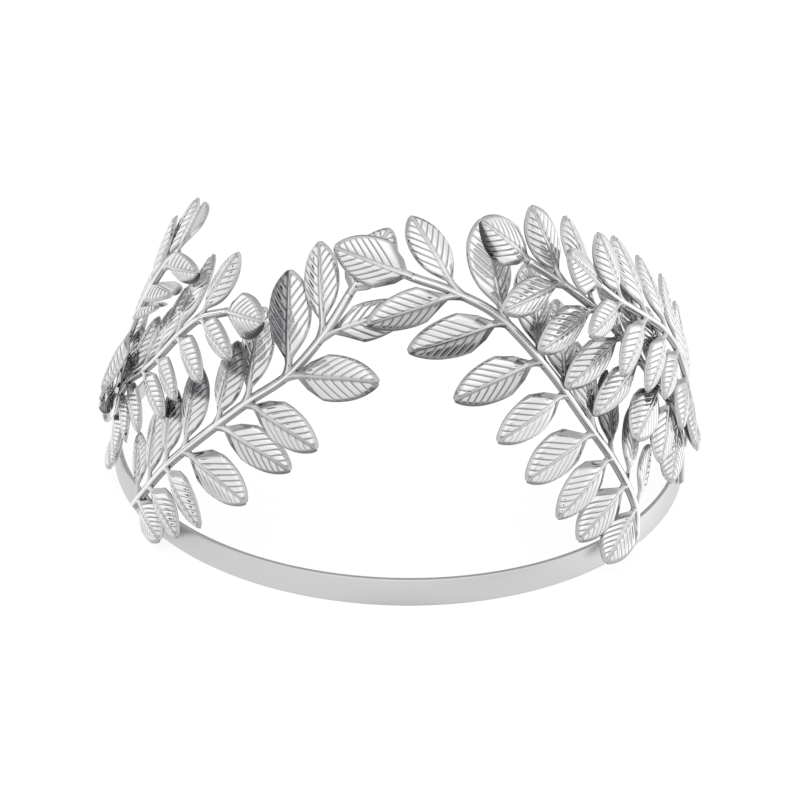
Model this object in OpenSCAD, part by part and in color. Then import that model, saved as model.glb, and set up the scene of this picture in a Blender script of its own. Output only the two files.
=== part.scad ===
/* [Hoop] */
// Outer radius of the hoop at its lower edge
band_radius = 73; // [60:1:90]
// Height of the hoop's strip
band_height = 5.6; // [4:0.2:8]
// Thickness of the hoop's strip
band_thickness = 1.0; // [0.6:0.1:1.6]
// Angle from the front centre to each open end of the hoop
band_end_angle = 100; // [95:1:110]
// Radius of the rounded outline of each open end, more than half the strip's height
band_end_round = 3.2; // [3:0.2:6]

/* [Leaning wall that the leaves follow] */
// How far the wall leans in for each unit of height
wall_lean = 0.22; // [0.1:0.01:0.3]
// How much more it leans higher up, for each unit of height squared
wall_curve = 0.0012; // [0:0.0002:0.002]

/* [Stems] */
// Width of a stem at its root
stem_width = 2.5; // [1.6:0.1:3]
// Width of a stem at its end leaf
stem_tip_width = 1.8; // [1:0.1:2.4]
// How far a stem's rounded face rises from its flat back
stem_rise = 1.2; // [0.8:0.1:1.6]

/* [Leaves] */
// Length of a full leaf's blade
blade_length = 16.8; // [14:0.2:20]
// Width of a full leaf's blade
blade_width = 9.4; // [7:0.2:10]
// Length of a leaf's stalk
stalk_length = 3; // [2:0.2:4]
// Width of a leaf's stalk
stalk_width = 1.8; // [1:0.1:2.4]
// Thickness of the leaf sheet
leaf_thickness = 0.5; // [0.4:0.1:0.8]
// How far the blade falls from its midrib, for each unit of width
leaf_fold = 0.22; // [0.1:0.02:0.3]
// How fast the blade curls towards the head, for each unit of length squared
leaf_curl = 0.006; // [0:0.001:0.01]

/* [Hidden] */

// Place of the whole crown's middle, from the hoop's centre to the origin
centre_x = 0.1;
centre_y = -30.2;

silver = "silver";
pale_silver = "gainsboro";
right = 1;
left = -1;

// How much each end of the strip loses where it is rounded
band_end_trim = 0.3;
// Size of the stamping for the branches behind, against the front one
middle_size = 0.92;
back_size = 0.9;
// Steps of the stem curve between two rows of its table
steps = 5;
// Depth that the sheet of a blade sinks below the top of its stem
blade_sink = 0.75;
// Half of the span over which a stem's direction is measured
tangent_reach = 1;
// Least length of bare stem below the first pair of leaves
root_room = 1.5;

// One stamping serves every branch. Each row is a pair of leaves:
// distance back from the end leaf, size of the lower leaf, size of the upper leaf,
// share of the usual width that the lower leaf has, and the upper leaf
STAMPING = [
    [77.5, 0.76, 0.72, 1.15, 1.00],
    [70.5, 0.84, 0.85, 1.15, 0.90],
    [61.5, 0.92, 0.90, 1.10, 0.90],
    [53.5, 0.94, 0.95, 1.15, 0.90],
    [41.5, 0.93, 0.95, 1.00, 0.90],
    [32.0, 0.96, 0.98, 1.00, 0.88],
    [20.5, 1.00, 1.05, 1.00, 0.95],
    [9.5, 0.93, 0.92, 0.90, 0.90],
];
end_size = 0.86;
end_wide = 1.22;
end_stalk = 1.5;

// Route of each stem. Each row is a place on it, from its root to its end leaf:
// angle from the front centre, height, how far its back stands off the wall
ROUTE_RIGHT_FRONT = [
    [51, 1.6, 0.3], [51.5, 10, 0.6], [47.5, 21, 0.6], [41.5, 32, 0.6],
    [33.5, 45.5, 0.6], [24, 57, 0.6], [14.5, 62.5, 0.6], [6, 65.5, 1.2],
];
ROUTE_RIGHT_MIDDLE = [
    [74, 2, 0.3], [72.5, 12, 1.6], [69.5, 21, 2.6], [65.5, 28.5, 3], [61, 34.5, 3.3],
    [56, 41.5, 3.6], [49.5, 50.5, 3.6], [43.5, 57, 3.8], [36, 63.5, 4.2], [29.3, 68.3, 4.8],
];
ROUTE_RIGHT_BACK = [
    [88, 2, 0.3], [84, 13, 2.2], [79, 23, 3.6], [73.5, 32, 4.6], [69, 40, 5.2],
    [63.5, 46.5, 5.4], [56.5, 52, 5.6], [49, 57.5, 5.9], [43.5, 62, 7],
];
ROUTE_LEFT_FRONT = [
    [-52, 1.5, 0.3], [-49, 6.5, 0.4], [-42, 17.5, 0.6], [-34, 27.5, 0.6],
    [-25, 37.5, 0.6], [-17, 45, 0.6], [-11, 53.5, 0.6], [-6.5, 61.5, 0.4],
];
ROUTE_LEFT_MIDDLE = [
    [-72, 2, 0.3], [-71, 11, 0.8], [-68, 20, 1.2], [-62.5, 27, 1.5], [-55, 33.5, 1.5],
    [-49.5, 39, 2.1], [-43, 46.5, 3], [-36.5, 52.5, 4.4], [-29.3, 56.2, 6],
];
ROUTE_LEFT_BACK = [
    [-86, 2, 0.3], [-83, 12, 0.8], [-78, 22, 1.3], [-72.5, 30.5, 1.5], [-68, 38.5, 1.7],
    [-63.5, 45.5, 2], [-58.5, 52, 2.6], [-53, 58, 3.6], [-47, 63, 5],
];

// How the leaves of each branch are bent by hand. Each row is a pair:
// turn, lift and roll of the lower leaf, then of the upper leaf
BENDS_RIGHT_FRONT = [
    [100, 8, -35, 64, -4, -5], [92, -4, -10, 52, 2, -10],
    [88, 0, 0, 48, -4, 0], [76, -4, 0, 40, -6, 0],
    [78, 8, 0, 40, -6, 0], [72, -12, 0, 40, -2, 0],
    [62, -12, 10, 42, -8, -10], [44, 6, 15, 40, -16, -5],
];
BENDS_RIGHT_MIDDLE = [
    [80, 0, -20, 45, -3, 0], [102, 4, -20, 45, 0, 0],
    [82, 8, -20, 45, 0, 0], [68, 6, -15, 45, 0, 0],
    [79, -3, 0, 45, -2, 0], [74, -4, 0, 45, -4, 0],
    [60, 12, 10, 48, -4, -25], [48, 16, 8, 28, 10, 0],
];
BENDS_RIGHT_BACK = [
    [56, 8, 5, 60, 0, 0], [70, 8, -20, 60, 0, 0],
    [80, 10, -10, 60, 0, 10], [75, 6, -5, 58, -2, 5],
    [70, 6, 0, 55, -4, 0], [70, 6, 0, 54, -5, 0],
    [60, 8, 5, 50, -4, -5], [44, 16, 8, 33, 8, -5],
];
BENDS_LEFT_FRONT = [
    [58, 12, 10, 60, 0, 0], [68, 8, 0, 46, 0, 0],
    [72, 12, -10, 44, 4, 0], [64, -4, 0, 42, 4, 5],
    [62, -10, 0, 36, 10, 5], [58, 8, -5, 50, 0, 0],
    [40, 12, 10, 52, 0, 0], [34, -14, 10, 44, -4, 5],
];
BENDS_LEFT_MIDDLE = [
    [84, 8, 20, 45, -4, 0], [80, 6, 5, 45, -4, 0],
    [68, 4, 0, 45, -4, 0], [56, 4, -10, 45, -6, 0],
    [50, 6, -10, 45, -8, 0], [52, 12, -10, 44, -8, 10],
    [56, 16, -15, 46, -8, 15], [44, 16, -15, 36, -4, 20],
];
BENDS_LEFT_BACK = [
    [60, 10, 0, 45, 0, 0], [60, 12, 0, 45, 0, 0],
    [60, 14, 0, 50, -8, -12], [60, 16, 0, 40, -8, -5],
    [100, 24, 20, 32, -4, 0], [26, 0, 60, 26, -4, 8],
    [28, 4, 52, 26, 5, 10], [32, 0, -30, 40, -6, 15],
];

// Bend of each end leaf: turn, lift and roll
END_RIGHT_FRONT = [0, 0, 10];
END_RIGHT_MIDDLE = [3, 18, -5];
END_RIGHT_BACK = [0, 12, -15];
END_LEFT_FRONT = [4, -18, 5];
END_LEFT_MIDDLE = [-16, 20, -5];
END_LEFT_BACK = [24, 0, 45];

// Outlines of a lower and of an upper blade. Each row is a station:
// part of the blade's length, part of its width
LOWER_BLADE = [
    [0.00, 0.19], [0.12, 0.70], [0.25, 0.95], [0.40, 1.00],
    [0.58, 0.94], [0.76, 0.75], [0.91, 0.43], [1.00, 0.11],
];
UPPER_BLADE = [
    [0.00, 0.17], [0.18, 0.66], [0.34, 0.92], [0.51, 1.00],
    [0.68, 0.94], [0.82, 0.74], [0.93, 0.44], [1.00, 0.11],
];

function unit(v) = v / norm(v);
function wall_radius(z) = band_radius - wall_lean * z - wall_curve * z * abs(z);

// A place from its angle, height and stand-off
function wall_point(row) =
    let (r = wall_radius(row[1]) + row[2])
    [r * sin(row[0]), -r * cos(row[0]), row[1]];

// The wall's outward direction at a place
function wall_normal(p) =
    unit([p.x, p.y, norm([p.x, p.y]) * (wall_lean + 2 * wall_curve * p.z)]);

// A smooth curve through four rows, between the middle two
function blend(a, b, c, d, t) =
    (2 * b + (c - a) * t + (2 * a - 5 * b + 4 * c - d) * t * t
     + (3 * b - a - 3 * c + d) * t * t * t) / 2;

function route_row(rows, i) =
    i < 0 ? 2 * rows[0] - rows[1]
    : i >= len(rows) ? 2 * rows[len(rows) - 1] - rows[len(rows) - 2]
    : rows[i];

// Every point of a stem's curve
function stem_curve(rows) = [
    for (i = [0 : len(rows) - 2]) for (k = [0 : i == len(rows) - 2 ? steps : steps - 1])
        wall_point(blend(route_row(rows, i - 1), rows[i], rows[i + 1],
                         route_row(rows, i + 2), k / steps))
];

// Distance along the curve to each of its points
function travelled(curve) = [
    for (i = 0, d = 0; i < len(curve);
         i = i + 1, d = d + (i < len(curve) ? norm(curve[i] - curve[i - 1]) : 0)) d
];

// The point at a distance along the curve
function along(curve, run, d) = [
    for (axis = [0 : 2])
        lookup(d, [for (i = [0 : len(curve) - 1]) [run[i], curve[i][axis]]])
];

// Direction of the curve at a distance along it
function heading(curve, run, d) =
    let (last = run[len(run) - 1])
    unit(along(curve, run, min(d + tangent_reach, last))
         - along(curve, run, max(min(d, last) - tangent_reach, 0)));

// A leaf's direction: the stem's heading turned in the wall's plane, then lifted out of it
function leaf_heading(t, n, side, bend) =
    cos(bend[1]) * (cos(bend[0]) * t + sin(bend[0]) * side * cross(t, n)) + sin(bend[1]) * n;

// The direction out of a leaf's face before it is rolled about its own rib
function level_face(t, n, side, bend) =
    cos(bend[1]) * n - sin(bend[1]) * (cos(bend[0]) * t + sin(bend[0]) * side * cross(t, n));

// Six corners of a section: edge, ridge and edge on the face, then the same three below.
// The ridge rises and the edges fall from the middle, along the face's direction.
function section(middle, across, face, half, ridge, edge, floor_mid, floor_edge) = [
    middle - half * across + edge * face,
    middle + ridge * face,
    middle + half * across + edge * face,
    middle + half * across + floor_edge * face,
    middle + floor_mid * face,
    middle - half * across + floor_edge * face,
];

// The stem's section: a ridged face over a flat back
function stem_section(curve, run, d) =
    let (t = heading(curve, run, d))
    let (at = along(curve, run, d))
    let (n = wall_normal(at))
    let (part = d / run[len(run) - 1])
    let (w = stem_width + (stem_tip_width - stem_width) * part)
    section(at, unit(cross(t, n)), n, w / 2, stem_rise, leaf_thickness, 0, 0);

// Sections of one leaf from the end of its stalk to its tip
function leaf_sections(start, t, n, side, bend, size, wide, stalk, outline) =
    let (ahead = leaf_heading(t, n, side, bend))
    let (level = level_face(t, n, side, bend))
    let (face = cos(bend[2]) * level - sin(bend[2]) * cross(ahead, level))
    let (across = cross(ahead, face))
    [
        for (row = outline)
            let (reach = stalk + blade_length * size * row[0])
            let (half = blade_width / 2 * size * wide * row[1])
            let (drop = leaf_fold * half)
            section(start + reach * ahead - leaf_curl * reach * reach * face, across, face,
                    half, 0, -drop, -leaf_thickness, -drop - leaf_thickness)
    ];

// Two triangles for each side of the tube between two rings of six corners
function tube_faces(a, b) = [
    for (k = [0 : 5]) each [[a[k], b[(k + 1) % 6], a[(k + 1) % 6]], [a[k], b[k], b[(k + 1) % 6]]]
];

// Four triangles that close a ring, seen from outside
function lid_faces(ring) = [for (k = [1 : 4]) [ring[0], ring[k], ring[k + 1]]];

function ring_of(first) = [for (k = [0 : 5]) first + k];
function backwards(ring) = [for (k = [5 : -1 : 0]) ring[k]];

// The hoop: a strip that leans as the wall does, open at the back
module band() {
    color(pale_silver)
    translate([-centre_x, -centre_y, 0])
    difference() {
        rotate([0, 0, -90 - band_end_angle])
        rotate_extrude(angle = 2 * band_end_angle, $fn = 240)
        polygon([
            [band_radius - band_thickness, 0],
            [band_radius, 0],
            [wall_radius(band_height), band_height],
            [wall_radius(band_height) - band_thickness, band_height],
        ]);
        for (hand = [left, right])
        rotate([0, 0, hand * band_end_angle])
        band_end_cut(hand);
    }
}

// What trims one open end of the strip to a round outline
module band_end_cut(hand) {
    reach = 2 * band_end_round;
    depth = 4 * (band_thickness + band_height * wall_lean);
    translate([-hand * (band_end_round + band_end_trim), -band_radius, band_height / 2])
    rotate([90, 0, 0])
    difference() {
        translate([hand == right ? 0 : -reach, -reach, -depth / 2])
        cube([reach, 2 * reach, depth]);
        cylinder(h = depth + 1, r = band_end_round, center = true, $fn = 48);
    }
}

// Where the stem has a section: its root, then four for each pair of leaves, then its end
function stem_stops(places, last) = concat(
    [0],
    [for (i = [0 : len(places) - 1])
        let (before = i == 0 ? 0 : places[i - 1] + stalk_width / 2)
        each [(before + places[i] - stalk_width / 2) / 2, places[i] - stalk_width / 2,
              places[i], places[i] + stalk_width / 2]],
    [last]
);

// The six corners on the stem's side that a leaf's stalk grows from
function stalk_root(i, side) =
    let (j = (4 * i + 2) * 6)
    side > 0 ? [j + 14, j + 8, j + 2, j + 3, j + 9, j + 15]
             : [j, j + 6, j + 12, j + 17, j + 11, j + 5];

// The stem's skin, left open where the stalks grow
function stem_faces(stops) = [
    for (r = [0 : stops - 2]) for (k = [0 : 5])
        let (a = 6 * r + k)
        let (b = 6 * r + (k + 1) % 6)
        if (!(k % 3 == 2 && r % 4 >= 2))
            each [[a, b + 6, b], [a, a + 6, b + 6]]
];

// A leaf's skin, from the corners that it grows from to its closed tip
function leaf_faces(root, first) =
    let (rings = concat([root], [for (r = [0 : len(LOWER_BLADE) - 1]) ring_of(first + 6 * r)]))
    concat(
        [for (r = [0 : len(rings) - 2]) each tube_faces(rings[r], rings[r + 1])],
        lid_faces(backwards(rings[len(rings) - 1]))
    );

// A whole branch: its stem, its pairs of leaves and its end leaf, in one closed skin
module branch(hand, scale, route, bends, end_bend) {
    curve = stem_curve(route);
    run = travelled(curve);
    last = run[len(run) - 1];
    rows = [for (i = [0 : len(STAMPING) - 1]) if (last - STAMPING[i][0] * scale > root_room) i];
    places = [for (i = rows) last - STAMPING[i][0] * scale];
    stops = stem_stops(places, last);
    sides = [-hand, hand];
    leaves = [
        for (p = [0 : len(places) - 1]) for (upper = [0, 1])
            let (at = along(curve, run, places[p]))
            let (n = wall_normal(at))
            leaf_sections(at + blade_sink * n, heading(curve, run, places[p]), n, sides[upper],
                          [for (k = [0 : 2]) bends[rows[p]][3 * upper + k]],
                          STAMPING[rows[p]][1 + upper] * scale, STAMPING[rows[p]][3 + upper],
                          stalk_length * scale, upper == 1 ? UPPER_BLADE : LOWER_BLADE)
    ];
    tip = curve[len(curve) - 1];
    end_leaf = leaf_sections(tip + blade_sink * wall_normal(tip), heading(curve, run, last),
                             wall_normal(tip), hand, end_bend, end_size * scale, end_wide,
                             end_stalk * scale, LOWER_BLADE);
    points = concat(
        [for (d = stops) each stem_section(curve, run, d)],
        [for (leaf = leaves) for (ring = leaf) each ring],
        [for (ring = end_leaf) each ring]
    );
    first = 6 * len(stops);
    leaf_points = 6 * len(LOWER_BLADE);
    faces = concat(
        lid_faces(ring_of(0)),
        stem_faces(len(stops)),
        [for (p = [0 : len(places) - 1]) for (upper = [0, 1])
            each leaf_faces(stalk_root(p, sides[upper]), first + (2 * p + upper) * leaf_points)],
        leaf_faces(ring_of(first - 6), first + len(leaves) * leaf_points)
    );
    color(silver)
    translate([-centre_x, -centre_y, 0])
    polyhedron(points = points, faces = faces, convexity = 10);
}

module branch_right_front() {
    branch(right, 1, ROUTE_RIGHT_FRONT, BENDS_RIGHT_FRONT, END_RIGHT_FRONT);
}

module branch_right_middle() {
    branch(right, middle_size, ROUTE_RIGHT_MIDDLE, BENDS_RIGHT_MIDDLE, END_RIGHT_MIDDLE);
}

module branch_right_back() {
    branch(right, back_size, ROUTE_RIGHT_BACK, BENDS_RIGHT_BACK, END_RIGHT_BACK);
}

module branch_left_front() {
    branch(left, 1, ROUTE_LEFT_FRONT, BENDS_LEFT_FRONT, END_LEFT_FRONT);
}

module branch_left_middle() {
    branch(left, middle_size, ROUTE_LEFT_MIDDLE, BENDS_LEFT_MIDDLE, END_LEFT_MIDDLE);
}

module branch_left_back() {
    branch(left, back_size, ROUTE_LEFT_BACK, BENDS_LEFT_BACK, END_LEFT_BACK);
}

band();
branch_right_front();
branch_right_middle();
branch_right_back();
branch_left_front();
branch_left_middle();
branch_left_back();
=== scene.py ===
import logging
import math
from dataclasses import dataclass
from enum import Enum

import bpy
import numpy as np
from mathutils import Matrix, Vector


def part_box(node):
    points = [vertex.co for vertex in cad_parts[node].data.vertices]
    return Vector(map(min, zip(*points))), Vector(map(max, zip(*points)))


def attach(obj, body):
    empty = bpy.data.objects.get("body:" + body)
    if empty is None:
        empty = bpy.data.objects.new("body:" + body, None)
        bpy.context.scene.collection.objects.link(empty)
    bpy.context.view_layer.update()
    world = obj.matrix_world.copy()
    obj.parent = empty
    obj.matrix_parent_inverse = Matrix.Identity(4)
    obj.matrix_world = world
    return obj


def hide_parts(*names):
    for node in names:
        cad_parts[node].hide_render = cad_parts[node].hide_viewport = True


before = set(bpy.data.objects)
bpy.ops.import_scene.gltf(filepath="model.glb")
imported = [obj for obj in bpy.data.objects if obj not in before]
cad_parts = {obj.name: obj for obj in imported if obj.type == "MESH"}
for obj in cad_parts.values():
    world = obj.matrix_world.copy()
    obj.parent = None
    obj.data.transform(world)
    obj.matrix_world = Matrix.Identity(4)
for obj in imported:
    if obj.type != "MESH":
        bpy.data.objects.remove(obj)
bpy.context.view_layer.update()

# The looks of a leaf crown: a satin hoop strip that carries three stamped leaf branches on each side.
# Lengths are millimetres about the hoop's centre until a mesh is made, and metres in the mesh.

MM = 0.001
IMAGE_SIDE = 800
SENSOR = 36.0
# Backs of leaves and stems are painted this far from the groove colour to the full colour: painted shade
# that leaves behind show as dark reflections.
BACK_SHADE_LEVEL = 0.8
WHITE = (1.0, 1.0, 1.0, 1.0)
log = logging.getLogger("leaf_crown")
Array = np.ndarray


class Side(Enum):
    """Which side of the front centre a branch stands on."""

    RIGHT = 1
    LEFT = -1


class Finish(Enum):
    """The record's material slots."""

    HOOP = "hoop_silver"
    LEAF = "leaf_silver"


def unit(vectors: Array) -> Array:
    """Vectors brought to length one.

    Args:
        vectors: Any number of vectors along the last axis.

    Returns:
        The same directions with length one.
    """
    return vectors / np.linalg.norm(vectors, axis=-1, keepdims=True)


def ease(x: Array, low: float, high: float) -> Array:
    """A smooth step that is 0 below low and 1 above high.

    The step is three times the square of the share less twice its cube.

    Args:
        x: Where to work the step out.
        low: Where it leaves 0.
        high: Where it reaches 1.

    Returns:
        The step's values.
    """
    t = np.clip((x - low) / (high - low), 0.0, 1.0)
    return t * t * (3.0 - 2.0 * t)


def smooth_through(x: Array, knots: Array, values: Array) -> Array:
    """A smooth curve through the rows of a table.

    Each span is a cubic whose end slopes are the mean slopes of the neighbouring rows.

    Args:
        x: Where to read the curve.
        knots: The rows' places, rising.
        values: The rows' values.

    Returns:
        The curve's values, held at the first and last row outside the table.
    """
    slope = np.gradient(values, knots)
    i = np.clip(np.searchsorted(knots, x, side="right") - 1, 0, len(knots) - 2)
    span = knots[i + 1] - knots[i]
    t = np.clip((x - knots[i]) / span, 0.0, 1.0)
    rise = values[i + 1] - values[i]
    bend_in = slope[i] * span - rise
    bend_out = rise - slope[i + 1] * span
    return values[i] + t * rise + t * (1 - t) * ((1 - t) * bend_in + t * bend_out)


def edge_fall(inset: Array, thickness: float) -> Array:
    """How far a sheet's face falls near a rim that is rounded to half of its thickness.

    The fall is the radius less what a quarter circle reaches at that distance.

    Args:
        inset: Distances in from the rim.
        thickness: The sheet's thickness.

    Returns:
        The falls, 0 from half a thickness inwards.
    """
    edge = np.clip(inset / (thickness / 2), 0.0, 1.0)
    return thickness / 2 * (1 - np.sqrt(1 - (1 - edge) ** 2))


def name_number(name: str) -> int:
    """A fixed whole number from a name: the sum of its letters' codes times their places."""
    return sum((i + 1) * ord(letter) for i, letter in enumerate(name))


def towards(angle: float, height: float) -> Vector:
    """A direction from an angle, 0 at the front and growing to the right, and an angle of height."""
    flat = math.cos(height)
    return Vector((math.sin(angle) * flat, -math.cos(angle) * flat, math.sin(height)))


@dataclass(frozen=True)
class Wall:
    """The leaning wall round the head that the hoop and every branch follow."""

    radius: float = 73.0
    lean: float = 0.22
    curve: float = 0.0012

    def radius_at(self, z: Array) -> Array:
        """Radius at a height: the base, less lean times height, less curve times height squared."""
        return self.radius - self.lean * z - self.curve * z * np.abs(z)

    def point(self, rows: Array) -> Array:
        """Places from rows of angle from the front in degrees, height and stand-off.

        Args:
            rows: Rows of three numbers.

        Returns:
            Points about the hoop's centre.
        """
        angle = np.radians(rows[..., 0])
        r = self.radius_at(rows[..., 1]) + rows[..., 2]
        return np.stack([r * np.sin(angle), -r * np.cos(angle), rows[..., 1]], axis=-1)

    def normal(self, points: Array) -> Array:
        """The outward direction, which rises by the wall's slope at that height."""
        flat = np.hypot(points[..., 0], points[..., 1])
        rise = flat * (self.lean + 2 * self.curve * points[..., 2])
        return unit(np.stack([points[..., 0], points[..., 1], rise], axis=-1))


@dataclass(frozen=True)
class Stamping:
    """The sizes of the one stamping that every branch is made from."""

    stem_width: float = 2.5
    stem_tip_width: float = 1.8
    stem_rise: float = 1.2
    flange_rise: float = 0.5
    ridge_share: float = 0.62
    blade_length: float = 16.8
    blade_width: float = 9.4
    stalk_length: float = 3.0
    stalk_half: float = 0.9
    root_back: float = 2.2
    sheet: float = 0.42
    fold: float = 0.22
    fold_softness: float = 0.35
    curl: float = 0.006
    pillow: float = 0.22
    blade_sink: float = 0.75
    root_room: float = 1.5
    end_size: float = 0.86
    end_wide: float = 1.22
    end_stalk: float = 1.5
    vein_lean: float = 1.15
    vein_sweep: float = 0.04
    bars: int = 7
    bar_rise: float = 0.38
    bar_flatness: float = 6.0
    rib_rise: float = 0.34
    rib_half: float = 0.42
    rim: float = 0.25
    # How far the flat rim is painted from the groove's painted shade towards the full colour: painted
    # shade along the outline.
    rim_shade_level: float = 0.2


# Part of the blade's length, part of its width, for a lower leaf and for an upper leaf
LOWER_BLADE = np.array([
    [0.00, 0.20], [0.05, 0.42], [0.13, 0.73], [0.25, 0.95], [0.38, 1.00],
    [0.55, 0.95], [0.72, 0.80], [0.87, 0.53], [0.96, 0.28], [1.00, 0.12],
])
UPPER_BLADE = np.array([
    [0.00, 0.18], [0.08, 0.40], [0.20, 0.70], [0.35, 0.93], [0.50, 1.00],
    [0.66, 0.95], [0.80, 0.78], [0.91, 0.50], [0.97, 0.27], [1.00, 0.12],
])

# Each pair of leaves: distance back from the end leaf, size of the lower leaf and of the upper leaf,
# then the share of a leaf's usual width that the lower and the upper leaf have
PAIRS = np.array([
    [77.5, 0.76, 0.72, 1.15, 1.00], [70.5, 0.84, 0.85, 1.15, 0.90],
    [61.5, 0.92, 0.90, 1.10, 0.90], [53.5, 0.94, 0.95, 1.15, 0.90],
    [41.5, 0.93, 0.95, 1.00, 0.90], [32.0, 0.96, 0.98, 1.00, 0.88],
    [20.5, 1.00, 1.05, 1.00, 0.95], [9.5, 0.93, 0.92, 0.90, 0.90],
])


@dataclass(frozen=True)
class PaintedShade:
    """How much painted shade one leaf carries, and where: its colour is darkened to stand for shade and
    dark reflections among the leaves.

    It grows from none to its amount between two shares of the blade's length. The half is 1 or -1 for
    one side of the rib, or 0 for both, and the last number is the part of the half's width, from the
    rib out, that stays unshaded. Up to an amount of about half, only the grooves turn dark.
    """

    amount: float = 0.0
    start: float = 0.0
    end: float = 1.0
    half: int = 0
    unshaded_share: float = 0.0


@dataclass(frozen=True)
class BranchPlan:
    """Where one branch runs and how its leaves are bent.

    The route's rows are angle from the front, height and stand-off from the wall. The rows of bends
    are turn, lift and roll of the lower leaf, then of the upper leaf, and the end leaf has one set.
    A row of painted shade is a pair counted from the root, 0 for its lower or 1 for its upper leaf,
    and the numbers of the leaf's painted shade. The end leaf counts as the upper leaf of one more pair.
    """

    name: str
    side: Side
    size: float
    route: tuple
    bends: tuple
    end_bend: tuple
    painted_shade_rows: tuple = ()


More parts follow.
